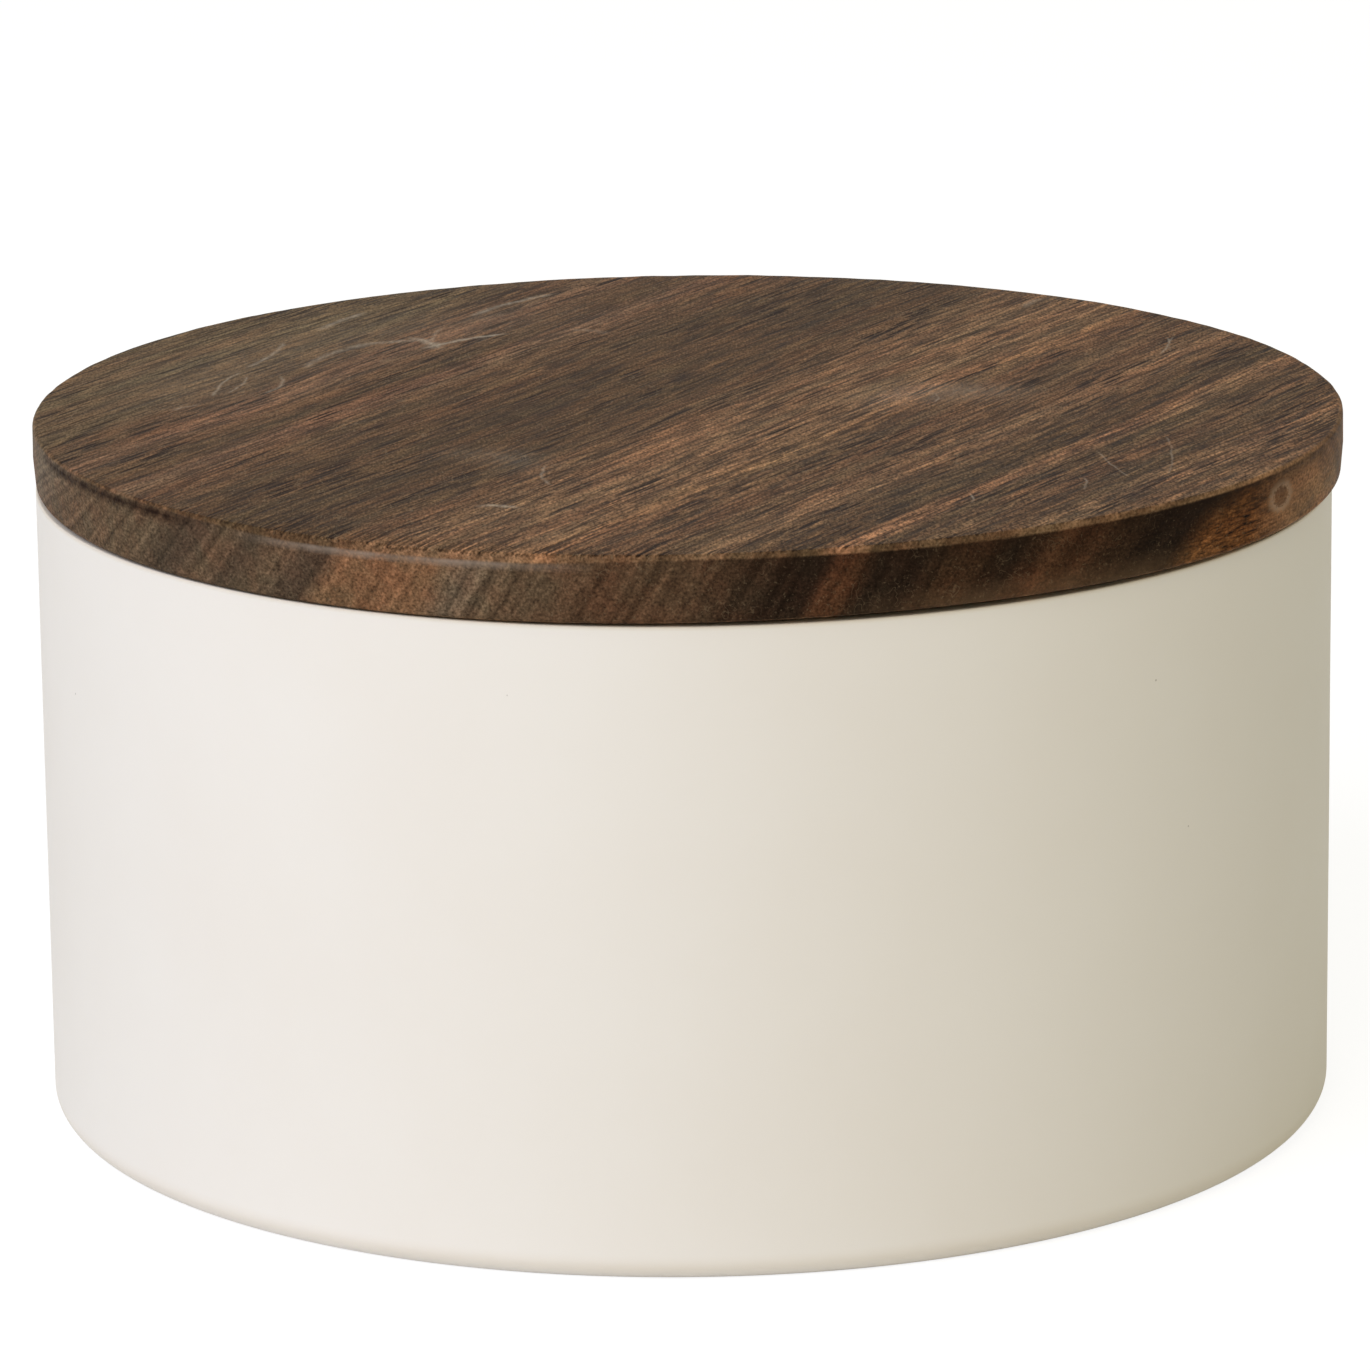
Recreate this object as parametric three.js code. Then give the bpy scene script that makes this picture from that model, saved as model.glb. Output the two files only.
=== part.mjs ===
// Lidded canister: a straight-sided stoneware pot, a turned walnut lid that overhangs the rim, and the
// silicone ring that seals the lid's plug in the mouth.
// Millimetres, +Z up. The origin is on the table, on the pot's axis.
import * as THREE from "three";

// Pot
const POT_RADIUS = 74.4;
const POT_HEIGHT = 73.2;
const WALL = 5;
const FLOOR = 6; // height of the inner floor above the table
const HEEL_ROUND = 2.5; // outer bottom edge
const FOOT_WIDTH = 6; // flat ring that stands on the table
const FOOT_RECESS = 1.2; // hollow of the underside, inside the foot ring
const FLOOR_COVE = 8; // inner bottom corner
const RIM_ROUND = 1.2; // both edges of the rim

// Lid
const LID_OVERHANG = 0.6; // beyond the pot's wall, all round
const LID_BOARD = 7.5; // thickness of the overhanging disc
const LID_UPPER_ROUND = 0.6;
const LID_LOWER_ROUND = 1.2;
const UPPER_LAND = 2; // wood on the plug between the disc and the groove
const LOWER_LAND = 2.6; // wood on the plug below the groove
const PLUG_ROUND = 1.2; // lower edge of the plug
const GROOVE_DEPTH = 2.2;

// Sealing ring
const BAND_THICKNESS = 1.6; // of the part that lies in the groove
const BAND_MARGIN = 0.8; // band above the top lip and below the bottom one
const LIP_COUNT = 3;
const LIP_PITCH = 2.2;
const LIP_ROOT = 1.4;
const LIP_TIP = 0.5;
const LIP_REACH = 1.8; // how far the lips stand out of the plug
const LIP_SWEEP = 0.7; // how far a lip's tip is swept up on its way into the mouth

// Fits
const FIT_GAP = 0.3; // between pieces that touch
const LID_PLAY = 0.35; // side play of the lid in the mouth, which it has taken up towards +X

// Facets
const SIDES = 72;
const FINE_STEPS = 4; // in a small edge round
const COVE_STEPS = 6;

// Sizes that follow
const mouthRadius = POT_RADIUS - WALL;
const lidRadius = POT_RADIUS + LID_OVERHANG;
const lipRadius = mouthRadius - LID_PLAY - FIT_GAP;
const plugRadius = lipRadius - LIP_REACH;
const grooveRadius = plugRadius - GROOVE_DEPTH;
const bandHeight = (LIP_COUNT - 1) * LIP_PITCH + LIP_ROOT + 2 * BAND_MARGIN;
const grooveHeight = bandHeight + 2 * FIT_GAP;
const plugDepth = UPPER_LAND + grooveHeight + LOWER_LAND;

// Points of an arc about (r, z), with its angles in degrees.
function arc(r, z, radius, from, to, steps) {
  return Array.from({ length: steps + 1 }, (_, step) => {
    const angle = THREE.MathUtils.degToRad(from + ((to - from) * step) / steps);
    return [r + radius * Math.cos(angle), z + radius * Math.sin(angle)];
  });
}

// A solid of revolution about Z. The profile's [r, z] points run anticlockwise round the material.
function turned(name, profile, material) {
  const points = profile.map(([r, z]) => new THREE.Vector2(r, z));
  const geometry = new THREE.LatheGeometry(points, SIDES).rotateX(Math.PI / 2);
  const mesh = new THREE.Mesh(geometry, material);
  mesh.name = name;
  return mesh;
}

const glazedStoneware = new THREE.MeshStandardMaterial({ color: 0xe6e0d6, roughness: 0.55, metalness: 0 });
const oiledWalnut = new THREE.MeshStandardMaterial({ color: 0x5c4434, roughness: 0.6, metalness: 0 });
const silicone = new THREE.MeshStandardMaterial({ color: 0xe4e1d8, roughness: 0.45, metalness: 0 });

// From the middle of the underside out over the foot ring, up the wall, over the rim and down to the floor.
function potProfile() {
  const footOuter = POT_RADIUS - HEEL_ROUND;
  const footInner = footOuter - FOOT_WIDTH;
  const rimHeight = POT_HEIGHT - RIM_ROUND;
  return [
    [0, FOOT_RECESS],
    ...arc(footInner - FOOT_RECESS, 0, FOOT_RECESS, 90, 0, FINE_STEPS),
    ...arc(footOuter, HEEL_ROUND, HEEL_ROUND, -90, 0, COVE_STEPS),
    ...arc(POT_RADIUS - RIM_ROUND, rimHeight, RIM_ROUND, 0, 90, FINE_STEPS),
    ...arc(mouthRadius + RIM_ROUND, rimHeight, RIM_ROUND, 90, 180, FINE_STEPS),
    ...arc(mouthRadius - FLOOR_COVE, FLOOR + FLOOR_COVE, FLOOR_COVE, 0, -90, COVE_STEPS),
    [0, FLOOR],
  ];
}

// From the middle of the plug's underside, up past the groove, and round the disc. Zero is the disc's underside.
function lidProfile() {
  const grooveTop = -UPPER_LAND;
  const grooveBottom = grooveTop - grooveHeight;
  return [
    [0, -plugDepth],
    ...arc(plugRadius - PLUG_ROUND, PLUG_ROUND - plugDepth, PLUG_ROUND, -90, 0, FINE_STEPS),
    [plugRadius, grooveBottom],
    [grooveRadius, grooveBottom],
    [grooveRadius, grooveTop],
    [plugRadius, grooveTop],
    [plugRadius, 0],
    ...arc(lidRadius - LID_LOWER_ROUND, LID_LOWER_ROUND, LID_LOWER_ROUND, -90, 0, FINE_STEPS),
    ...arc(lidRadius - LID_UPPER_ROUND, LID_BOARD - LID_UPPER_ROUND, LID_UPPER_ROUND, 0, 90, FINE_STEPS),
    [0, LID_BOARD],
  ];
}

// A flat band with tapered lips on its outside, each swept up. It closes on itself, and shares the lid's zero.
function ringProfile() {
  const bandInner = grooveRadius + FIT_GAP;
  const bandOuter = bandInner + BAND_THICKNESS;
  const bandTop = -UPPER_LAND - FIT_GAP;
  const bandBottom = bandTop - bandHeight;
  const lips = Array.from({ length: LIP_COUNT }, (_, lip) => {
    const root = bandBottom + BAND_MARGIN + lip * LIP_PITCH;
    const tip = root + (LIP_ROOT - LIP_TIP) / 2 + LIP_SWEEP;
    return [
      [bandOuter, root],
      [lipRadius, tip],
      [lipRadius, tip + LIP_TIP],
      [bandOuter, root + LIP_ROOT],
    ];
  });
  return [
    [bandInner, bandBottom],
    [bandOuter, bandBottom],
    ...lips.flat(),
    [bandOuter, bandTop],
    [bandInner, bandTop],
    [bandInner, bandBottom],
  ];
}

const closure = new THREE.Group();
closure.position.set(LID_PLAY, 0, POT_HEIGHT + FIT_GAP);
closure.add(turned("lid", lidProfile(), oiledWalnut));
closure.add(turned("seal_ring", ringProfile(), silicone));

const canister = new THREE.Group();
canister.add(turned("pot", potProfile(), glazedStoneware));
canister.add(closure);

export default canister;
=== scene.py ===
"""A lidded canister on a pale floor: glazed stoneware pot, turned walnut lid, silicone sealing ring."""
import math

import bpy
from mathutils import Matrix, Vector, noise


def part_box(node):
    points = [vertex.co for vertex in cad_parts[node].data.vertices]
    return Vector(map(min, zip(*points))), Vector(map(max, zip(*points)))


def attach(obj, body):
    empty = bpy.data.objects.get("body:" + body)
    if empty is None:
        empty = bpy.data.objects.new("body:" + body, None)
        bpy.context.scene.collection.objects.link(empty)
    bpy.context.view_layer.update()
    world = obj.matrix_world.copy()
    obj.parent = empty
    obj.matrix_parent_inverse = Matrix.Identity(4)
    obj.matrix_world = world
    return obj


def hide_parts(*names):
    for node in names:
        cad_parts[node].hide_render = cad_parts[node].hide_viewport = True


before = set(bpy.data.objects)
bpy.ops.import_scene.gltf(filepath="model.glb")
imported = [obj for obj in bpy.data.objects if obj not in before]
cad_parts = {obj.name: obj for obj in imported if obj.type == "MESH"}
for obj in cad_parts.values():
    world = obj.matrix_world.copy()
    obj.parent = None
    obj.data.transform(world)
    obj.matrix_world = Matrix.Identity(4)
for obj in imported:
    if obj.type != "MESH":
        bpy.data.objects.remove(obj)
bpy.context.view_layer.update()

MM = 0.001

# Sizes that the frame gives
pot_low, pot_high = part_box("pot")
lid_low, lid_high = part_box("lid")
ring_low, ring_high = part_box("seal_ring")
POT_RADIUS = (pot_high.x - pot_low.x) / 2
POT_HEIGHT = pot_high.z
LID_RADIUS = (lid_high.x - lid_low.x) / 2
LID_TOP = lid_high.z
LID_AXIS_X = (lid_high.x + lid_low.x) / 2
PLUG_BOTTOM = lid_low.z
LIP_RADIUS = (ring_high.x - ring_low.x) / 2
BAND_BOTTOM = ring_low.z
BAND_TOP = ring_high.z

# Pot's section
WALL = 5 * MM
FLOOR = 6 * MM
HEEL_ROUND = 2.5 * MM
FOOT_WIDTH = 6 * MM
FOOT_RECESS = 1.2 * MM
FLOOR_COVE = 8 * MM
RIM_ROUND = 1.2 * MM  # of the mouth's edge
RIM_OUTER_ROUND = 0.2 * MM
RIM_GLAZE = 0.1 * MM  # glaze that stands on the rim
GLAZE_THICKNESS = 0.1 * MM
GLAZE_STOP = -72  # degrees round the heel, where the glaze was wiped off
GLAZE_END = 4  # degrees that the wiped end of the glaze takes up
OUT_OF_ROUND = 0.08 * MM
OVAL_TURN = 0.7  # radians, of the oval that drying left
GLAZE_WAVES = 0.02 * MM
WAVE_LENGTH = 14 * MM

# Lid's section
LID_BOARD = 7.54 * MM
LID_UPPER_ROUND = 0.4 * MM
LID_LOWER_ROUND = 0.5 * MM
PLUG_ROUND = 1.2 * MM
GROOVE_DEPTH = 2.2 * MM
GROOVE_EASE = 0.2 * MM

# Lid's warp and wear
LID_TILT = 0.06 * MM  # raise of its front
LID_WARP = 0.48 * MM
WARP_TURN = math.radians(-64)  # where the warped edge stands highest
LID_OVER = 0.35 * MM  # more overhang at the right
ARRIS_WEAR = 0.06 * MM
ARRIS_REACH = 1.2 * MM  # how far from the upper edge the wear goes
KNOCK_LENGTHS = (3 * MM, 11 * MM)  # of short and long unevenness in that wear
RUBBED_MORE = 4  # times more wear where hands rub the upper edge
RUBBED_REACH = 30  # mm from the middle of that place to its ends
FINGER_WEAR = 0.35 * MM  # at both ends of the lower edge
FINGER_REACH = 2 * MM

# Ring's section
FIT_GAP = 0.3 * MM
BAND_THICKNESS = 1.6 * MM
BAND_MARGIN = 0.8 * MM
LIP_COUNT = 3
LIP_PITCH = 2.2 * MM
LIP_ROOT = 1.4 * MM
LIP_TIP = 0.5 * MM
LIP_REACH = 1.8 * MM
LIP_SWEEP = 0.7 * MM
RING_BULGE = 0.03 * MM
RING_SAG = 0.04 * MM

# Meshes
SIDES = 360
ROW = 4 * MM  # spacing of rows on long straight stretches
HOLD = 0.15 * MM  # row beside each edge round, which keeps the flat next to it flat

# Camera, as the photograph was taken; pixels are those of its 1370 by 1370 frame
PHOTO_SIDE = 1370
FOCAL_PIXELS = 7824
SENSOR = 36.0
CAMERA_PITCH = math.radians(14.52)
CAMERA_ROLL = math.radians(-0.68)
CAMERA_DISTANCE = 0.908
CAMERA_TARGET = Vector((-0.15, 0, 47.67)) * MM

# Studio
FILL_STRENGTH = 0.467
FILL_TINT = (1.0, 0.947, 0.7, 1.0)
WHITE = (1.0, 1.0, 1.0, 1.0)
LAMP_HEIGHT = math.radians(36)
LAMP_DISTANCE = 2.0
LAMP_SIZE = 1.2
# Name, degrees to the left of the camera, watts and tint
LAMPS = (
    ("window", 60, 16.2, (0.53, 0.64, 1.0)),
    ("softbox", 25, 15.6, (1.0, 0.945, 0.94)),
)
STAGE_HALF = 6.0
STAGE_LEVEL = -0.02 * MM  # just clear of the foot ring


def linear(code):
    """The linear colour, with alpha, of an sRGB hex code."""
    parts = [int(code[i:i + 2], 16) / 255 for i in (1, 3, 5)]
    return (*(p / 12.92 if p <= 0.04045 else ((p + 0.055) / 1.055) ** 2.4 for p in parts), 1.0)


def add(tree, kind, inputs, **settings):
    """Adds a shader node with its settings. inputs maps a socket to a value, an output or a whole node.

    A Mix of colours has its factor at socket 0 and its two colours at 6 and 7.
    """
    node = tree.nodes.new("ShaderNode" + kind)
    for name, value in settings.items():
        setattr(node, name, value)
    for key, value in inputs.items():
        if isinstance(value, bpy.types.Node):
            value = next(output for output in value.outputs if output.enabled)
        if isinstance(value, bpy.types.NodeSocket):
            tree.links.new(value, node.inputs[key])
        else:
            node.inputs[key].default_value = value
    return node


def blank_material(name):
    material = bpy.data.materials.new(name)
    material.use_nodes = True
    material.node_tree.nodes.clear()
    return material, material.node_tree


def in_millimetres(tree, middle=Vector((0, 0, 0))):
    """Places on a piece in millimetres from a point of it, so a pattern's scale is one over its real size."""
    place = add(tree, "TexCoord", {}).outputs["Object"]
    return add(tree, "Mapping", {
        "Vector": place, "Location": -middle / MM, "Scale": (1 / MM, 1 / MM, 1 / MM)})


# Meshes

def arc(r, z, radius, start, end, steps=8):
    """Points of a round about (r, z), angles in degrees, with one more point just before and after it."""
    way = 1 if end > start else -1
    turns = [math.radians(start + (end - start) * i / steps) for i in range(steps + 1)]
    points = [(r + radius * math.cos(a), z + radius * math.sin(a)) for a in turns]

    def beside(point, a, side):
        return point[0] - side * HOLD * math.sin(a), point[1] + side * HOLD * math.cos(a)

    return [beside(points[0], turns[0], -way), *points, beside(points[-1], turns[-1], way)]


def with_rows(profile):
    """The profile with long straight stretches cut into rows."""
    points = [profile[0]]
    for (r0, z0), (r1, z1) in zip(profile, profile[1:]):
        pieces = max(1, math.ceil(math.hypot(r1 - r0, z1 - z0) / ROW))
        points += [(r0 + (r1 - r0) * i / pieces, z0 + (z1 - z0) * i / pieces) for i in range(1, pieces + 1)]
    return points


def turned(name, profile, axis_x, waver, materials, finish=None):
    """A mesh turned about a vertical axis, its points moved by waver.

    The profile's (r, z) points run anticlockwise round the solid, and finish gives each row its material.
    """
    closed = profile[0] == profile[-1]
    profile = with_rows(profile)[:-1] if closed else with_rows(profile)
    vertices, rings, faces, kinds = [], [], [], []
    for r, z in profile:
        count = SIDES if r > 1e-9 else 1  # a row on the axis is one point
        rings.append(range(len(vertices), len(vertices) + count))
        for i in range(count):
            turn = 2 * math.pi * i / SIDES
            moved_r, moved_z = waver(r, turn, z)
            vertices.append((axis_x + moved_r * math.cos(turn), moved_r * math.sin(turn), moved_z))
    pairs = list(zip(range(len(profile)), range(1, len(profile))))
    if closed:
        pairs.append((len(profile) - 1, 0))
    for low, high in pairs:
        middle = [(a + b) / 2 for a, b in zip(profile[low], profile[high])]
        for i in range(SIDES):
            j = (i + 1) % SIDES
            lower = [rings[low][i], rings[low][j]] if len(rings[low]) > 1 else [rings[low][0]]
            upper = [rings[high][j], rings[high][i]] if len(rings[high]) > 1 else [rings[high][0]]
            faces.append(lower + upper)
            kinds.append(finish(*middle) if finish else 0)
    mesh = bpy.data.meshes.new(name)
    mesh.from_pydata(vertices, [], faces)
    for material in materials:
        mesh.materials.append(material)
    mesh.polygons.foreach_set("material_index", kinds)
    mesh.polygons.foreach_set("use_smooth", [True] * len(faces))
    mesh.update()
    piece = bpy.data.objects.new(name, mesh)
    bpy.context.scene.collection.objects.link(piece)
    return piece


# Pot

GLAZE, LINING, BISCUIT = range(3)


def pot_section():
    foot_outer = POT_RADIUS - HEEL_ROUND
    foot_inner = foot_outer - FOOT_WIDTH
    mouth = POT_RADIUS - WALL
    top = POT_HEIGHT + RIM_GLAZE
    return [
        (0, FOOT_RECESS),
        *arc(foot_inner - FOOT_RECESS, 0, FOOT_RECESS, 90, 0)[:-1],
        *arc(foot_outer, HEEL_ROUND, HEEL_ROUND, -90, GLAZE_STOP - GLAZE_END, 4)[:-1],
        *arc(foot_outer - GLAZE_THICKNESS, HEEL_ROUND, HEEL_ROUND + GLAZE_THICKNESS, GLAZE_STOP, 0, 10)[1:],
        *arc(POT_RADIUS - RIM_OUTER_ROUND, top - RIM_OUTER_ROUND, RIM_OUTER_ROUND, 0, 90),
        *arc(mouth + RIM_ROUND, top - RIM_ROUND, RIM_ROUND, 90, 180),
        *arc(mouth - FLOOR_COVE, FLOOR + FLOOR_COVE, FLOOR_COVE, 0, -90, 16),
        (0, FLOOR),
    ]


def pot_finish(r, z):
    """The underside is bare clay up to where the glaze was wiped off, and the inside has a glossy lining."""
    round_heel = math.degrees(math.atan2(z - HEEL_ROUND, r - (POT_RADIUS - HEEL_ROUND)))
    if z < FLOOR / 2 and round_heel < GLAZE_STOP - GLAZE_END / 2:
        return BISCUIT
    if r < POT_RADIUS - WALL / 2 and z > FLOOR / 2:
        return LINING
    return GLAZE


def pot_waver(r, turn, z):
    """Slightly out of round from drying and firing, with slow waves in the glaze."""
    out = OUT_OF_ROUND * math.cos(2 * turn + OVAL_TURN) * (r / POT_RADIUS) ** 2
    place = Vector((r * math.cos(turn), r * math.sin(turn), z)) / WAVE_LENGTH
    return r + (out + GLAZE_WAVES * noise.noise(place)) * min(1.0, r / WALL), z


# Lid and ring

def lid_section():
    under = LID_TOP - LID_BOARD
    plug = LIP_RADIUS - LIP_REACH
    groove = plug - GROOVE_DEPTH
    top = BAND_TOP + FIT_GAP
    bottom = BAND_BOTTOM - FIT_GAP
    ease = GROOVE_EASE
    return [
        (0, PLUG_BOTTOM),
        *arc(plug - PLUG_ROUND, PLUG_BOTTOM + PLUG_ROUND, PLUG_ROUND, -90, 0),
        *arc(plug - ease, bottom - ease, ease, 0, 90, 4),
        (groove + HOLD, bottom), (groove, bottom), (groove, bottom + HOLD),
        (groove, top - HOLD), (groove, top), (groove + HOLD, top),
        *arc(plug - ease, top + ease, ease, -90, 0, 4),
        (plug, under - HOLD), (plug, under), (plug + HOLD, under),
        *arc(LID_RADIUS - LID_LOWER_ROUND, under + LID_LOWER_ROUND, LID_LOWER_ROUND, -90, 0),
        *arc(LID_RADIUS - LID_UPPER_ROUND, LID_TOP - LID_UPPER_ROUND, LID_UPPER_ROUND, 0, 90),
        (0, LID_TOP),
    ]


def lid_tilt(r, turn):
    """The ring holds the lid a little higher at the front."""
    return -LID_TILT * math.sin(turn) * r / LID_RADIUS


def lobe(turn, sharpness):
    """One where the turn is zero, falling to zero on the far side, and narrower the sharper it is."""
    return ((1 + math.cos(turn)) / 2) ** sharpness


def lid_waver(r, turn, z):
    """The disc has warped up at one side and hangs over a little more at the right.

    Knocks have worn its upper edge unevenly, and lifting fingers its lower edge at both ends.
    """
    place = Vector((r * math.cos(turn), r * math.sin(turn), z))
    on_disc = r / LID_RADIUS if z > LID_TOP - LID_BOARD / 2 or r > POT_RADIUS - WALL else 0
    warped = LID_WARP * lobe(turn - WARP_TURN, 12) * on_disc ** 2
    over = LID_OVER * lobe(turn, 20) * on_disc
    near_upper = max(0.0, 1 - math.hypot(r - LID_RADIUS, z - LID_TOP) / ARRIS_REACH)
    rubbed = max(0.0, 1 - (place.xy / MM - WORN_HIGHLIT_ARRIS.xy).length / RUBBED_REACH)
    knocked = sum(noise.noise(place / length) for length in KNOCK_LENGTHS)
    worn = ARRIS_WEAR * near_upper * (1 + RUBBED_MORE * rubbed + knocked)
    near_lower = max(0.0, 1 - math.hypot(r - LID_RADIUS, z - LID_TOP + LID_BOARD) / FINGER_REACH)
    fingered = FINGER_WEAR * near_lower * math.cos(turn) ** 6
    return r + over - worn - fingered, z + lid_tilt(r, turn) + warped - worn + fingered


def ring_section():
    inner = LIP_RADIUS - LIP_REACH - GROOVE_DEPTH + FIT_GAP
    outer = inner + BAND_THICKNESS
    points = [(inner, BAND_BOTTOM), (outer, BAND_BOTTOM)]
    for lip in range(LIP_COUNT):
        root = BAND_BOTTOM + BAND_MARGIN + lip * LIP_PITCH
        upper = root + LIP_ROOT
        tip = root + (LIP_ROOT - LIP_TIP) / 2 + LIP_SWEEP
        points += [(outer, root - HOLD), (outer, root), (outer + HOLD, root + HOLD / 2)]
        points += arc(LIP_RADIUS - LIP_TIP / 2, tip + LIP_TIP / 2, LIP_TIP / 2, -70, 110)
        points += [(outer + HOLD, upper + HOLD / 2), (outer, upper), (outer, upper + HOLD)]
    return points + [(outer, BAND_TOP), (inner, BAND_TOP), (inner, BAND_BOTTOM)]


def ring_waver(r, turn, z):
    """Soft silicone lies a little unevenly in its groove."""
    return r + RING_BULGE * math.cos(5 * turn + 1), z + lid_tilt(r, turn) + RING_SAG * math.cos(3 * turn)


# Walnut, with all lengths in millimetres

GRAIN_ANGLE = math.radians(60)  # of the grain from +X, seen from above
GRAIN_SWAY = (0, 1.6, 0.5)  # sideways and up
SWAY_LENGTH = 110
SWAY_WIDTH = 26
PITH_OFFSET = -79  # from the axis towards the front right
PITH_ABOVE = 49  # from the lid's top up to the middle of the tree's rings
PITH_CORE = 6
REDDISH, GREENISH = (1.1, 0.975, 0.93, 1.0), (0.95, 1.0, 0.98, 1.0)  # tints between which the wood drifts
OLIVE, DARK, MID, WARM, TAN, FAWN = "#69563f", "#57432f", "#674e38", "#7a5e45", "#8f6b4c", "#846449"
UMBER, DRIFT, BARK, SMOKE, RUSSET, COCOA = "#745843", "#675645", "#5d4b39", "#4b3d30", "#71543c", "#4f3b2b"
BLACK, SABLE, OXBLOOD, HONEY = "#271d15", "#39281b", "#4e3322", "#5f3e23"
PORE_DARK, DUST, SCUFF = "#241810", "#a08a6c", "#b9ab98"
# Growth bands across the lid's top: distance from the axis towards the front right, and the wood's colour
TOP_BANDS = (
    (-75, OLIVE), (-56, OLIVE), (-49, MID), (-44.5, UMBER), (-41, MID), (-37, DARK), (-33.5, UMBER),
    (-29, MID), (-20, DARK), (-4, DARK), (2, MID), (8, WARM), (16, WARM), (20, WARM), (22.5, TAN),
    (24.8, MID), (31, MID), (35.5, MID), (38, WARM), (41, MID), (44.5, DARK), (48, DARK), (49.6, FAWN),
    (51.2, FAWN), (52.9, DARK), (57, MID), (62, DARK), (66, WARM), (70.5, MID), (73, WARM), (75, FAWN),
)
# The same bands where the rim cuts them; end grain drinks more oil and turns darker
RIM_BANDS = (
    (-75, DRIFT), (-47, DRIFT), (-41, BARK), (-25, BARK), (-20, SMOKE), (-17, SMOKE), (-14, BARK),
    (-10.5, SMOKE), (-6.5, BARK), (-3, SMOKE), (-0.5, SMOKE), (2, RUSSET), (12, RUSSET), (16, DRIFT),
    (20, BARK), (30, COCOA), (39, COCOA), (47, BLACK), (49.4, BLACK), (50.6, OXBLOOD), (52.2, OXBLOOD),
    (53.4, BLACK), (57.2, BLACK), (59.5, SABLE), (62, SABLE), (64.4, BLACK), (67.4, OXBLOOD), (69.8, SABLE),
    (72.2, BLACK), (73.9, BLACK), (74.8, HONEY),
)
BARE_FROM, BARE_TO = 73.8, 75.0  # bands where the rim runs along the grain
# Scuffs on the lid's top: start and end from its middle, X right and Y back; bulge; width; strength
SCUFFS = (
    ((-43.9, 43.6), (-39, 53.9), 0.5, 1.6, 0.5), ((-51.7, 22.9), (-48, 37.4), -0.8, 1.0, 0.5),
    ((-54.7, 7.2), (-52.3, 20.2), 0.7, 0.7, 0.6), ((-53.6, 8.5), (-51.4, 18.5), -0.6, 0.6, 0.45),
    ((-49.2, 8.5), (-47.5, 17.7), -1.2, 0.8, 0.55), ((-44.7, 22.6), (-39.6, 33.5), 0.9, 1.8, 0.45),
    ((-40.5, 33), (-32, 37.5), 1.0, 2.4, 0.5), ((-32.6, 38.8), (-29.4, 32.6), 0.6, 2.6, 0.75),
    ((-31, 32.8), (-21.6, 40.6), 0.7, 1.4, 0.75), ((-30, 35), (-29.3, 44), 0.5, 0.9, 0.45),
    ((-25.9, 51.3), (-16, 64), 0.9, 1.6, 0.5), ((-13.7, 42.2), (-9.5, 40.7), 0.4, 2.2, 0.3),
    ((-59.3, -0.5), (-56, 3.2), 0.3, 1.0, 0.4), ((-22.6, -50.4), (-18.6, -51), 0.4, 1.6, 0.75),
    ((-15.6, -30), (-14.9, -41), -0.8, 0.6, 0.4), ((54, -20), (53, -39.6), 0.5, 0.35, 0.3),
    ((46, -27.5), (48.8, -40.6), -0.4, 0.35, 0.35), ((43.6, -40), (43.2, -47), 0.3, 0.4, 0.4),
    ((30.7, -47.5), (30.7, -53), 0.4, 0.4, 0.5), ((28.6, 5.2), (28.5, -0.6), 0.5, 0.5, 0.5),
    ((56, 24.5), (57.5, 34), -0.5, 0.45, 0.55), ((57.4, 27), (58.3, 34.5), 0.4, 0.4, 0.45),
    ((41.2, 53), (43.6, 57.5), 0.3, 1.6, 0.4),
    # Broad faint hazes
    ((-58, 10), (-24, 50), 5.0, 34.0, 0.08), ((24, 3), (34, 6), 1.0, 16.0, 0.2),
    ((-24, -24), (-18, -30), 1.0, 12.0, 0.12),
)
SCUFF_SHAKE = (0.2, 0.5, 0)
SCUFF_FADE = 1.5  # at both ends
WORN_HIGHLIT_ARRIS = Vector((-31, -68, 0))  # middle of the upper edge that hands have rubbed, where a highlight is painted on
WORN_END, WORN_CORE = 32, 14  # distances from there at which the rubbing ends, and is full
EDGE_OVER, WORN_OVER = 0.3, 0.95  # how far the top's colours carry on down over the edge, and over that place
# Marks along the rim: the middle; how far from it the mark ends, and starts to fade; height from the
# lid's top; half width; strength; colour
RIM_MARKS = (
    (WORN_HIGHLIT_ARRIS, 22, 9, -1.2, 0.7, 0.75, "#8b7c6e"),  # painted highlight on the rubbed upper edge
    (Vector((-65, -37, 0)), 20, 15, -0.9, 1.0, 1.1, "#22150e"),  # a dark line along the upper edge at the left
    (Vector((45, -60, 0)), 52, 38, 0.3, 5.0, 0.5, "#20140c"),  # darker over the upper part of the rim at the front right, broad
    (Vector((64, -39, 0)), 34, 14, 0.3, 2.4, 0.95, "#1d110a"),  # darker over the upper part of the rim at the front right, narrower
    (Vector((40, -63, 0)), 26, 12, -6.8, 2.6, 0.26, "#8a6e52"),  # lighter along the lower edge at the front right
)
PALE_SPOT = Vector((74.7, -6.5, 0))  # where the rim has kept the colour of the top
PALE_END, PALE_CORE = 38, 29  # distances from there at which that ends, and is full
KNOT_TURN = math.radians(-29)
KNOT_DEPTH = 3.1  # below the lid's top
KNOT_SHAPE = (1, 1, 1.7)  # makes the knot longer than it is high
# Rings of the knot from its middle out: distance, colour and strength
KNOT_RINGS = (
    (0, "#4f3826", 0.6), (0.648, "#5f4634", 0.45), (1.584, "#6e5540", 0.4), (2.16, "#ab9078", 0.65),
    (2.88, "#a5886e", 0.5), (3.6, "#7a5a40", 0.0),
)


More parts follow.
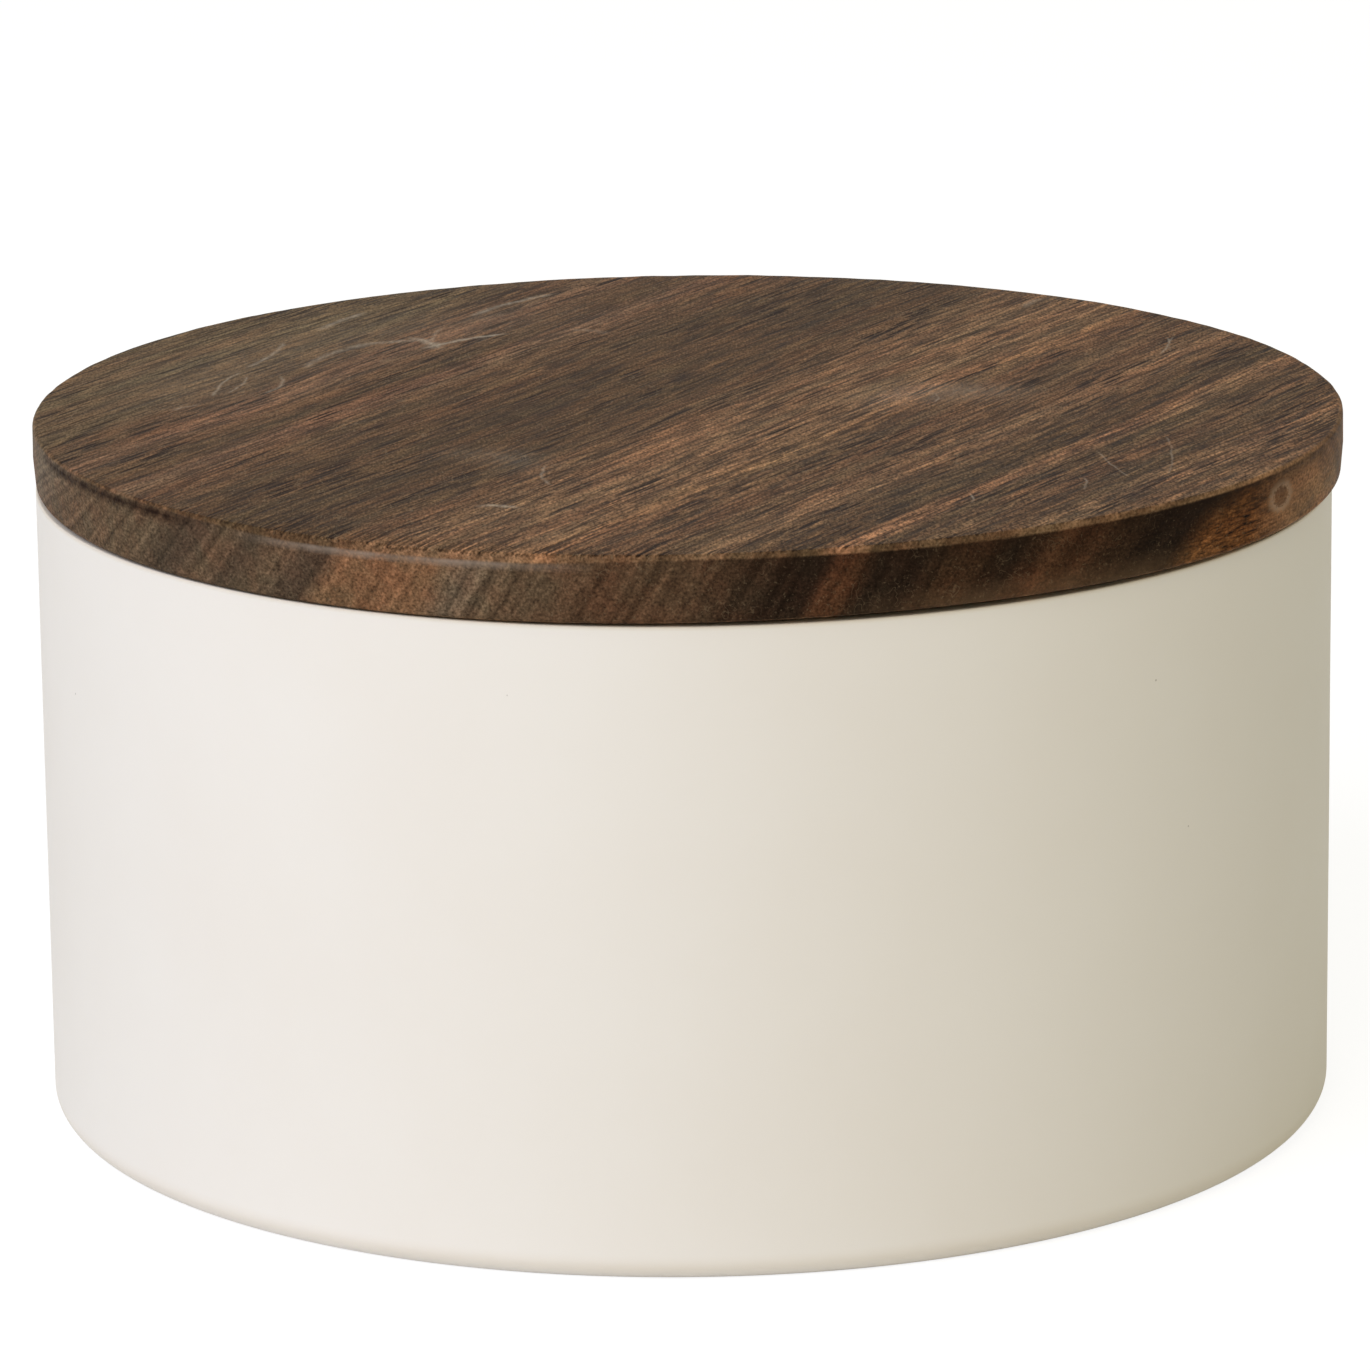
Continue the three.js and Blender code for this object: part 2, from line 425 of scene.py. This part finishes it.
def band_ramp(tree, bands, offset):
    """A colour ramp through bands of a distance, a colour and perhaps a strength, read at an offset."""
    first, last = bands[0][0], bands[-1][0]
    place = add(tree, "MapRange", {"Value": offset, "From Min": first, "From Max": last})
    ramp = add(tree, "ValToRGB", {"Fac": place})
    stops = ramp.color_ramp.elements
    while len(stops) < len(bands):
        stops.new(0.5)
    for stop, (at, code, *strength) in zip(stops, bands):
        stop.position = (at - first) / (last - first)
        stop.color = (*linear(code)[:3], *(strength or [1.0]))
    return ramp


def along_grain(tree, plan):
    """Places turned so that X runs along the grain, which sways a little."""
    board = add(tree, "Mapping", {"Vector": plan, "Rotation": (0, 0, -GRAIN_ANGLE)})
    slow = add(tree, "Mapping", {"Vector": board, "Scale": (1 / SWAY_LENGTH, 1 / SWAY_WIDTH, 1 / SWAY_WIDTH)})
    sway = add(tree, "TexNoise", {"Vector": slow, "Scale": 1.0, "Detail": 2.0}, normalize=False)
    return add(tree, "VectorMath", {
        0: sway.outputs["Color"], 1: GRAIN_SWAY, 2: board}, operation="MULTIPLY_ADD")


def ring_offset(tree, grain):
    """Where the growth ring at each place meets the lid's top, from the axis towards the front right.

    Every ring keeps its distance from the pith, so the bands lean where the rim cuts them.
    """
    axes = add(tree, "SeparateXYZ", {0: grain})
    side = add(tree, "Math", {0: -PITH_OFFSET, 1: axes.outputs["Y"]}, operation="SUBTRACT")
    drop = add(tree, "Math", {0: PITH_ABOVE, 1: axes.outputs["Z"]}, operation="SUBTRACT")
    deeper = add(tree, "Math", {0: drop, 1: drop, 2: -PITH_ABOVE ** 2}, operation="MULTIPLY_ADD")
    width = add(tree, "Math", {0: side, 1: side, 2: PITH_CORE ** 2}, operation="MULTIPLY_ADD")
    spread = add(tree, "Math", {0: deeper, 1: width}, operation="DIVIDE")
    spread = add(tree, "Math", {0: spread, 1: 1.0}, operation="ADD")
    spread = add(tree, "Math", {0: spread}, operation="SQRT")
    return add(tree, "Math", {0: side, 1: spread, 2: PITH_OFFSET}, operation="MULTIPLY_ADD")


def nearness(tree, flat, spot, edge, core):
    """One nearer to a spot than core, seen from above, and zero beyond edge."""
    away = add(tree, "VectorMath", {0: flat, 1: spot}, operation="DISTANCE").outputs["Value"]
    return add(tree, "MapRange", {"Value": away, "From Min": edge, "From Max": core})


def rim_masks(tree, flat, height):
    """The lid's side, and the part of it that has the rim's own colours.

    The top's colours carry on over the worn edge, furthest where hands have rubbed it.
    """
    edge = LID_RADIUS / MM
    radius = add(tree, "VectorMath", {0: flat}, operation="LENGTH").outputs["Value"]
    on_side = add(tree, "MapRange", {"Value": radius, "From Min": edge - 0.35, "From Max": edge - 0.1})
    worn_over = add(tree, "MapRange", {
        "Value": nearness(tree, flat, WORN_HIGHLIT_ARRIS, WORN_END, WORN_CORE),
        "To Min": EDGE_OVER, "To Max": WORN_OVER})
    below = add(tree, "Math", {0: height, 1: worn_over}, operation="ADD")
    below = add(tree, "MapRange", {"Value": below, "From Min": 0.15, "From Max": -0.1})
    on_rim = add(tree, "Math", {0: on_side, 1: below}, operation="MULTIPLY")
    return on_side, on_rim


def streaks(tree, grain, length, width, detail):
    """Noise drawn out along the grain."""
    stretched = add(tree, "Mapping", {"Vector": grain, "Scale": (1 / length, 1 / width, 1 / width)})
    return add(tree, "TexNoise", {
        "Vector": stretched, "Scale": 1.0, "Detail": detail, "Roughness": 0.6}, normalize=False)


def vessels(tree, grain, length, width, edge, core):
    """Pores cut as dashes along the grain: one within core of a dash's middle and zero beyond edge."""
    stretched = add(tree, "Mapping", {"Vector": grain, "Scale": (1 / length, 1 / width, 1 / width)})
    cells = add(tree, "TexVoronoi", {"Vector": stretched, "Scale": 1.0})
    return add(tree, "MapRange", {"Value": cells, "From Min": edge, "From Max": core})


def pores(tree, grain):
    """Open vessels 0.5 mm wide, in crowds, and finer ones between them."""
    crowd = streaks(tree, grain, 35, 5, 1.0)
    crowd = add(tree, "MapRange", {
        "Value": crowd, "From Min": -0.4, "From Max": 0.4, "To Min": 0.3, "To Max": 1.0})
    wide = add(tree, "Math", {0: vessels(tree, grain, 10, 0.7, 0.44, 0.3), 1: crowd}, operation="MULTIPLY")
    fine = add(tree, "Math", {0: vessels(tree, grain, 6.5, 0.5, 0.42, 0.28), 1: 0.6}, operation="MULTIPLY")
    return add(tree, "Math", {0: wide, 1: fine}, operation="MAXIMUM")


def with_knot(tree, plan, nap, wood):
    """The wood with a pin knot on the rim: a pale ring with a dark eye."""
    edge = LID_RADIUS / MM
    eye = Vector((edge * math.cos(KNOT_TURN), edge * math.sin(KNOT_TURN), -KNOT_DEPTH))
    from_eye = add(tree, "VectorMath", {0: plan, 1: eye}, operation="SUBTRACT")
    from_eye = add(tree, "VectorMath", {0: from_eye, 1: KNOT_SHAPE}, operation="MULTIPLY")
    reach = add(tree, "VectorMath", {0: from_eye}, operation="LENGTH").outputs["Value"]
    reach = add(tree, "Math", {0: nap, 1: 0.45, 2: reach}, operation="MULTIPLY_ADD")
    knot = band_ramp(tree, KNOT_RINGS, reach)
    return add(tree, "Mix", {0: knot.outputs["Alpha"], 6: wood, 7: knot.outputs["Color"]}, data_type="RGBA")


def with_dust(tree, plan, on_side, wood):
    """The wood with specks of dust, and hairline scratches in curls."""
    specks = add(tree, "TexNoise", {
        "Vector": add(tree, "Mapping", {"Vector": plan, "Scale": (1 / 0.4, 1 / 1.3, 1 / 0.4)}),
        "Scale": 1.0, "Detail": 3.0, "Roughness": 0.75})
    pale = add(tree, "MapRange", {"Value": specks, "From Min": 0.58, "From Max": 0.78, "To Max": 0.5})
    curls = add(tree, "TexNoise", {
        "Vector": add(tree, "Mapping", {"Vector": plan, "Scale": (1 / 1.3, 1 / 4, 1 / 1.3)}),
        "Scale": 1.0, "Detail": 1.0}, normalize=False)
    curls = add(tree, "Math", {0: curls}, operation="ABSOLUTE")
    hair = add(tree, "MapRange", {"Value": curls, "From Min": 0.05, "From Max": 0.01})
    where = add(tree, "TexNoise", {"Vector": plan, "Scale": 1 / 4, "Detail": 2.0}, normalize=False)
    where = add(tree, "MapRange", {"Value": where, "From Min": 0.15, "From Max": 0.4, "To Max": 0.25})
    hair = add(tree, "Math", {0: hair, 1: where}, operation="MULTIPLY")
    pale = add(tree, "Math", {0: pale, 1: hair}, operation="MAXIMUM")
    less = add(tree, "MapRange", {"Value": on_side, "To Min": 1.0, "To Max": 0.6})
    pale = add(tree, "Math", {0: pale, 1: less}, operation="MULTIPLY")
    return add(tree, "Mix", {0: pale, 6: wood, 7: linear(DUST)}, data_type="RGBA")


def scuffing(tree, flat):
    """How strongly each place is scuffed: broken pale arcs where the lid has been knocked and dragged."""
    shake = add(tree, "TexNoise", {"Vector": flat, "Scale": 1 / 3, "Detail": 2.0}, normalize=False)
    shaken = add(tree, "VectorMath", {
        0: shake.outputs["Color"], 1: SCUFF_SHAKE, 2: flat}, operation="MULTIPLY_ADD")
    total = 0.0
    for start, end, bulge, width, strength in SCUFFS:
        start, end = Vector((*start, 0)), Vector((*end, 0))
        chord = end - start
        middle = (start + end) / 2
        radius = (chord.length ** 2 / 4 + bulge ** 2) / (2 * bulge)
        centre = middle + Vector((-chord.y, chord.x, 0)).normalized() * (bulge - radius)
        away = add(tree, "VectorMath", {0: shaken, 1: centre}, operation="DISTANCE").outputs["Value"]
        off = add(tree, "Math", {0: away, 1: abs(radius)}, operation="SUBTRACT")
        off = add(tree, "Math", {0: off}, operation="ABSOLUTE")
        line = add(tree, "MapRange", {
            "Value": off, "From Min": width / 2, "From Max": 0.0, "To Max": strength})
        reach = chord.length / 2
        ends = nearness(tree, shaken, middle, reach + width / 2, reach - SCUFF_FADE)
        stroke = add(tree, "Math", {0: line, 1: ends}, operation="MULTIPLY")
        total = add(tree, "Math", {0: stroke, 1: total}, operation="MAXIMUM")
    broken = add(tree, "TexNoise", {
        "Vector": add(tree, "Mapping", {"Vector": flat, "Scale": (1 / 0.8, 1 / 2.4, 1)}),
        "Scale": 1.0, "Detail": 3.0, "Roughness": 0.7})
    patchy = add(tree, "MapRange", {
        "Value": broken, "From Min": 0.3, "From Max": 0.7, "To Min": 0.25, "To Max": 1.3})
    return add(tree, "Math", {0: total, 1: patchy}, operation="MULTIPLY")


def with_rim_marks(tree, plan, flat, height, on_rim, wood):
    """The wood with the marks along the rim's edges, each a little patchy."""
    rubbed = add(tree, "TexNoise", {"Vector": plan, "Scale": 1 / 2.5, "Detail": 4.0})
    patchy = add(tree, "MapRange", {"Value": rubbed, "From Min": 0.3, "From Max": 0.6, "To Min": 0.4})
    for spot, far, near, level, width, strength, code in RIM_MARKS:
        off = add(tree, "Math", {0: height, 1: level}, operation="SUBTRACT")
        off = add(tree, "Math", {0: off}, operation="ABSOLUTE")
        line = add(tree, "MapRange", {"Value": off, "From Min": width, "From Max": 0.0, "To Max": strength})
        mark = add(tree, "Math", {0: line, 1: nearness(tree, flat, spot, far, near)}, operation="MULTIPLY")
        mark = add(tree, "Math", {0: mark, 1: on_rim}, operation="MULTIPLY")
        mark = add(tree, "Math", {0: mark, 1: patchy}, operation="MULTIPLY")
        wood = add(tree, "Mix", {0: mark, 6: wood, 7: linear(code)}, data_type="RGBA")
    return wood


def oiled_walnut():
    """Plain-sawn walnut, turned, sanded and oiled: dark heartwood with tan bands, open pores, a low sheen."""
    material, tree = blank_material("oiled_walnut")
    plan = in_millimetres(tree, Vector((LID_AXIS_X, 0, LID_TOP)))
    flat = add(tree, "VectorMath", {0: plan, 1: (1, 1, 0)}, operation="MULTIPLY")
    height = add(tree, "SeparateXYZ", {0: plan}).outputs["Z"]
    on_side, on_rim = rim_masks(tree, flat, height)
    grain = along_grain(tree, plan)
    offset = ring_offset(tree, grain)

    # Growth bands, whose colour drifts between reddish and greenish along the grain
    pale_rim = nearness(tree, flat, PALE_SPOT, PALE_END, PALE_CORE)
    dark_rim = add(tree, "Math", {0: 1.0, 1: pale_rim}, operation="SUBTRACT")
    dark_rim = add(tree, "Math", {0: on_rim, 1: dark_rim}, operation="MULTIPLY")
    bands = add(tree, "Mix", {
        0: dark_rim, 6: band_ramp(tree, TOP_BANDS, offset), 7: band_ramp(tree, RIM_BANDS, offset)},
        data_type="RGBA")
    hue = streaks(tree, grain, 45, 4, 2.0)
    hue = add(tree, "MapRange", {"Value": hue, "From Min": -0.6, "From Max": 0.6})
    tint = add(tree, "Mix", {0: hue, 6: REDDISH, 7: GREENISH}, data_type="RGBA")
    wood = add(tree, "VectorMath", {0: bands, 1: tint}, operation="MULTIPLY")

    # Growth lines, long streaks, fibres drawn twice as wide as they are so that they show, and the nap that
    # cross-sanding left, each with its strength on the top and on the side
    rings = add(tree, "TexNoise", {
        "W": offset, "Scale": 1 / 1.3, "Detail": 2.0}, noise_dimensions="1D", normalize=False)
    long_streaks = streaks(tree, grain, 28, 1.4, 3.0)
    fibres = streaks(tree, grain, 9, 0.55, 2.0)
    nap = add(tree, "TexNoise", {
        "Vector": add(tree, "Mapping", {"Vector": plan, "Scale": (1 / 0.28, 1 / 0.9, 1 / 0.28)}),
        "Scale": 1.0, "Detail": 1.0}, normalize=False)
    patterns = ((rings, 0.15, 0.4), (long_streaks, 0.38, 0.2), (fibres, 0.75, 0.2), (nap, 0.8, 0.68))
    for pattern, on_top, at_side in patterns:
        coarser = add(tree, "MapRange", {  # towards the front right
            "Value": offset, "From Min": -60, "From Max": 60,
            "To Min": 0.85 * on_top, "To Max": 1.22 * on_top})
        strength = add(tree, "MapRange", {"Value": on_side, "To Min": coarser, "To Max": at_side})
        tone = add(tree, "Math", {0: pattern, 1: strength, 2: 1.0}, operation="MULTIPLY_ADD")
        wood = add(tree, "VectorMath", {0: wood, "Scale": tone}, operation="SCALE")

    # Fibres lie bare and golden where the rim runs along the grain
    bare = add(tree, "MapRange", {"Value": offset, "From Min": BARE_FROM, "From Max": BARE_TO, "To Max": 1.1})
    bare = add(tree, "Math", {0: bare, 1: dark_rim}, operation="MULTIPLY")
    flecks = add(tree, "Math", {
        0: streaks(tree, grain, 3, 0.3, 2.0), 1: bare, 2: 1.0}, operation="MULTIPLY_ADD")
    wood = add(tree, "VectorMath", {0: wood, "Scale": flecks}, operation="SCALE")

    pore = pores(tree, grain)
    shown = add(tree, "MapRange", {"Value": on_side, "To Min": 1.0, "To Max": 0.12})
    depth = add(tree, "Math", {0: pore, 1: shown}, operation="MULTIPLY")
    wood = add(tree, "Mix", {0: depth, 6: wood, 7: linear(PORE_DARK)}, data_type="RGBA")
    wood = with_knot(tree, plan, nap, wood)
    wood = with_dust(tree, plan, on_side, wood)
    wood = add(tree, "Mix", {0: scuffing(tree, flat), 6: wood, 7: linear(SCUFF)}, data_type="RGBA")
    wood = with_rim_marks(tree, plan, flat, height, on_rim, wood)

    hollow = add(tree, "Math", {0: pore, 1: -2.0, 2: fibres}, operation="MULTIPLY_ADD")
    relief = add(tree, "Bump", {"Strength": 0.3, "Distance": 0.06 * MM, "Height": hollow})
    gloss = add(tree, "Math", {0: fibres, 1: 0.06, 2: 0.55}, operation="MULTIPLY_ADD")
    surface = add(tree, "BsdfPrincipled", {
        "Base Color": wood, "Roughness": gloss, "IOR": 1.45, "Specular IOR Level": 0.02, "Normal": relief})
    add(tree, "OutputMaterial", {"Surface": surface})
    return material


# Clay, glaze and silicone

def matt_glaze():
    """Off-white matt glaze, sprayed and fired: eggshell grain, a few iron specks, no sharp gloss."""
    material, tree = blank_material("matt_glaze")
    plan = in_millimetres(tree)
    cloud = add(tree, "TexNoise", {"Vector": plan, "Scale": 1 / 25, "Detail": 3.0})
    colour = add(tree, "Mix", {0: cloud, 6: linear("#ebe7df"), 7: linear("#e7e1d7")}, data_type="RGBA")
    # Thinner over the heel, where the clay warms it, and pooled again at its lower end; the rim's top is
    # darkened as painted shade for the gap under the lid
    height = add(tree, "SeparateXYZ", {0: plan}).outputs["Z"]
    thin_heel = add(tree, "MapRange", {"Value": height, "From Min": 3.0, "From Max": 1.6, "To Max": 0.22})
    pooled = add(tree, "MapRange", {"Value": height, "From Min": 0.2, "From Max": 1.4})
    thin_heel = add(tree, "Math", {0: thin_heel, 1: pooled}, operation="MULTIPLY")
    top = POT_HEIGHT / MM
    # Painted shade: the top 0.4 mm of the rim is darkened so that the gap under the lid reads dark
    rim_gap_shade = add(tree, "MapRange", {"Value": height, "From Min": top - 0.4, "From Max": top, "To Max": 0.5})
    thin_glaze_and_gap_shade = add(tree, "Math", {0: thin_heel, 1: rim_gap_shade}, operation="MAXIMUM")
    colour = add(tree, "Mix", {0: thin_glaze_and_gap_shade, 6: colour, 7: linear("#d8c9b0")}, data_type="RGBA")
    iron = add(tree, "TexVoronoi", {"Vector": plan, "Scale": 1 / 10})
    speck = add(tree, "MapRange", {"Value": iron, "From Min": 0.016, "From Max": 0.008, "To Max": 0.5})
    colour = add(tree, "Mix", {0: speck, 6: colour, 7: linear("#6b5a45")}, data_type="RGBA")
    grain = add(tree, "TexNoise", {"Vector": plan, "Scale": 1 / 0.6, "Detail": 2.0})
    relief = add(tree, "Bump", {"Strength": 0.12, "Distance": 0.05 * MM, "Height": grain})
    gloss = add(tree, "MapRange", {"Value": cloud, "To Min": 0.52, "To Max": 0.68})
    surface = add(tree, "BsdfPrincipled", {
        "Base Color": colour, "Roughness": gloss, "IOR": 1.5, "Specular IOR Level": 0.12, "Normal": relief})
    add(tree, "OutputMaterial", {"Surface": surface})
    return material


def gloss_lining():
    """White liner glaze, poured and glossy, so that food washes off: slow runs and pinholes."""
    material, tree = blank_material("gloss_lining")
    plan = in_millimetres(tree)
    cloud = add(tree, "TexNoise", {"Vector": plan, "Scale": 1 / 18, "Detail": 3.0})
    colour = add(tree, "Mix", {0: cloud, 6: linear("#f1ede5"), 7: linear("#e9e3d8")}, data_type="RGBA")
    pinholes = add(tree, "TexVoronoi", {"Vector": plan, "Scale": 1 / 7})
    hole = add(tree, "MapRange", {"Value": pinholes, "From Min": 0.035, "From Max": 0.015, "To Max": 0.7})
    colour = add(tree, "Mix", {0: hole, 6: colour, 7: linear("#8a765c")}, data_type="RGBA")
    runs = add(tree, "TexNoise", {
        "Vector": add(tree, "Mapping", {"Vector": plan, "Scale": (1 / 9, 1 / 9, 1 / 30)}),
        "Scale": 1.0, "Detail": 2.0})
    relief = add(tree, "Bump", {"Strength": 0.25, "Distance": 0.3 * MM, "Height": runs})
    gloss = add(tree, "MapRange", {"Value": cloud, "To Min": 0.1, "To Max": 0.3})
    surface = add(tree, "BsdfPrincipled", {
        "Base Color": colour, "Roughness": gloss, "IOR": 1.5, "Normal": relief})
    add(tree, "OutputMaterial", {"Surface": surface})
    return material


def bare_biscuit():
    """Unglazed stoneware on the foot: buff, gritty and dry, with dark grog."""
    material, tree = blank_material("bare_biscuit")
    plan = in_millimetres(tree)
    cloud = add(tree, "TexNoise", {"Vector": plan, "Scale": 1 / 9, "Detail": 4.0})
    colour = add(tree, "Mix", {0: cloud, 6: linear("#d3c3ab"), 7: linear("#bfab8f")}, data_type="RGBA")
    grog = add(tree, "TexVoronoi", {"Vector": plan, "Scale": 1 / 1.8})
    grit = add(tree, "MapRange", {"Value": grog, "From Min": 0.2, "From Max": 0.08, "To Max": 0.6})
    colour = add(tree, "Mix", {0: grit, 6: colour, 7: linear("#7d6a52")}, data_type="RGBA")
    sand = add(tree, "TexNoise", {"Vector": plan, "Scale": 1 / 0.4, "Detail": 3.0})
    relief = add(tree, "Bump", {"Strength": 0.5, "Distance": 0.15 * MM, "Height": sand})
    gloss = add(tree, "MapRange", {"Value": cloud, "To Min": 0.8, "To Max": 0.98})
    surface = add(tree, "BsdfPrincipled", {
        "Base Color": colour, "Roughness": gloss, "Specular IOR Level": 0.2, "Normal": relief})
    add(tree, "OutputMaterial", {"Surface": surface})
    return material


def milky_silicone():
    """Soft translucent silicone: milky, a little waxy, with lint and a fine mould grain."""
    material, tree = blank_material("milky_silicone")
    plan = in_millimetres(tree)
    cloud = add(tree, "TexNoise", {"Vector": plan, "Scale": 1 / 12, "Detail": 3.0})
    colour = add(tree, "Mix", {0: cloud, 6: linear("#e8e5dd"), 7: linear("#d9d5ca")}, data_type="RGBA")
    lint = add(tree, "TexVoronoi", {"Vector": plan, "Scale": 1 / 2.6})
    fluff = add(tree, "MapRange", {"Value": lint, "From Min": 0.12, "From Max": 0.05, "To Max": 0.5})
    colour = add(tree, "Mix", {0: fluff, 6: colour, 7: linear("#a59b8a")}, data_type="RGBA")
    mould = add(tree, "TexNoise", {"Vector": plan, "Scale": 1 / 0.35, "Detail": 2.0})
    relief = add(tree, "Bump", {"Strength": 0.15, "Distance": 0.05 * MM, "Height": mould})
    gloss = add(tree, "MapRange", {"Value": cloud, "To Min": 0.35, "To Max": 0.55})
    surface = add(tree, "BsdfPrincipled", {
        "Base Color": colour, "Roughness": gloss, "IOR": 1.41, "Specular IOR Level": 0.4,
        "Subsurface Weight": 0.3, "Subsurface Scale": 1.5 * MM, "Normal": relief})
    add(tree, "OutputMaterial", {"Surface": surface})
    return material


# Pieces

pot = turned("stoneware_pot", pot_section(), 0.0, pot_waver,
             [matt_glaze(), gloss_lining(), bare_biscuit()], pot_finish)
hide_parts("pot")
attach(pot, "pot")

lid = turned("walnut_lid", lid_section(), LID_AXIS_X, lid_waver, [oiled_walnut()])
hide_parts("lid")
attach(lid, "lid")

ring = turned("silicone_ring", ring_section(), LID_AXIS_X, ring_waver, [milky_silicone()])
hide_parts("seal_ring")
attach(ring, "seal")


# Studio

def seen_directly(tree):
    """One for what the camera sees, straight or in a reflection or through a clear thing, zero for light."""
    path = add(tree, "LightPath", {})
    seen = add(tree, "Math", {
        0: path.outputs["Is Camera Ray"], 1: path.outputs["Is Glossy Ray"]}, operation="MAXIMUM")
    return add(tree, "Math", {0: seen, 1: path.outputs["Is Transmission Ray"]}, operation="MAXIMUM")


def white_room(scene):
    """A white backdrop that gives an even, slightly warm fill."""
    world = bpy.data.worlds.new("studio")
    scene.world = world
    world.use_nodes = True
    tree = world.node_tree
    tree.nodes.clear()
    fill = add(tree, "Background", {"Color": FILL_TINT, "Strength": FILL_STRENGTH})
    white = add(tree, "Background", {"Color": WHITE, "Strength": 1.0})
    sky = add(tree, "MixShader", {0: seen_directly(tree), 1: fill, 2: white})
    add(tree, "OutputWorld", {"Surface": sky})


def pale_floor(scene):
    """White paper that keeps a faint shadow."""
    material, tree = blank_material("pale_floor")
    paper = add(tree, "BsdfDiffuse", {"Color": (0.88, 0.88, 0.88, 1.0)})
    shade = add(tree, "BsdfDiffuse", {"Color": (0.25, 0.25, 0.25, 1.0)})
    glow = add(tree, "Emission", {"Color": WHITE, "Strength": 0.86})
    lit = add(tree, "AddShader", {0: shade, 1: glow})
    look = add(tree, "MixShader", {0: seen_directly(tree), 1: paper, 2: lit})
    add(tree, "OutputMaterial", {"Surface": look})
    corners = [(x * STAGE_HALF, y * STAGE_HALF, STAGE_LEVEL) for x, y in ((-1, -1), (1, -1), (1, 1), (-1, 1))]
    mesh = bpy.data.meshes.new("floor")
    mesh.from_pydata(corners, [], [(0, 1, 2, 3)])
    mesh.materials.append(material)
    floor = bpy.data.objects.new("floor", mesh)
    scene.collection.objects.link(floor)


def soft_lamps(scene):
    """A cool window at the left and a warm softbox at the front left, both aimed at the canister."""
    for name, turn, watts, tint in LAMPS:
        lamp = bpy.data.lights.new(name, "AREA")
        lamp.size = LAMP_SIZE
        lamp.energy = watts
        lamp.color = tint
        holder = bpy.data.objects.new(name, lamp)
        bearing = math.radians(turn)
        level = math.cos(LAMP_HEIGHT)
        away = Vector((-math.sin(bearing) * level, -math.cos(bearing) * level, math.sin(LAMP_HEIGHT)))
        holder.location = CAMERA_TARGET + away * LAMP_DISTANCE
        holder.rotation_mode = "QUATERNION"
        holder.rotation_quaternion = (-away).to_track_quat("-Z", "Y")
        scene.collection.objects.link(holder)


def photograph_camera(scene):
    camera = bpy.data.cameras.new("camera")
    camera.sensor_width = SENSOR
    camera.lens = FOCAL_PIXELS / PHOTO_SIDE * SENSOR
    viewer = bpy.data.objects.new("camera", camera)
    back = Vector((0, -math.cos(CAMERA_PITCH), math.sin(CAMERA_PITCH)))
    viewer.matrix_world = (Matrix.Translation(CAMERA_TARGET + back * CAMERA_DISTANCE)
                           @ Matrix.Rotation(math.pi / 2 - CAMERA_PITCH, 4, "X")
                           @ Matrix.Rotation(CAMERA_ROLL, 4, "Z"))
    scene.collection.objects.link(viewer)
    scene.camera = viewer


scene = bpy.context.scene
scene.view_settings.view_transform = "Standard"
white_room(scene)
pale_floor(scene)
soft_lamps(scene)
photograph_camera(scene)
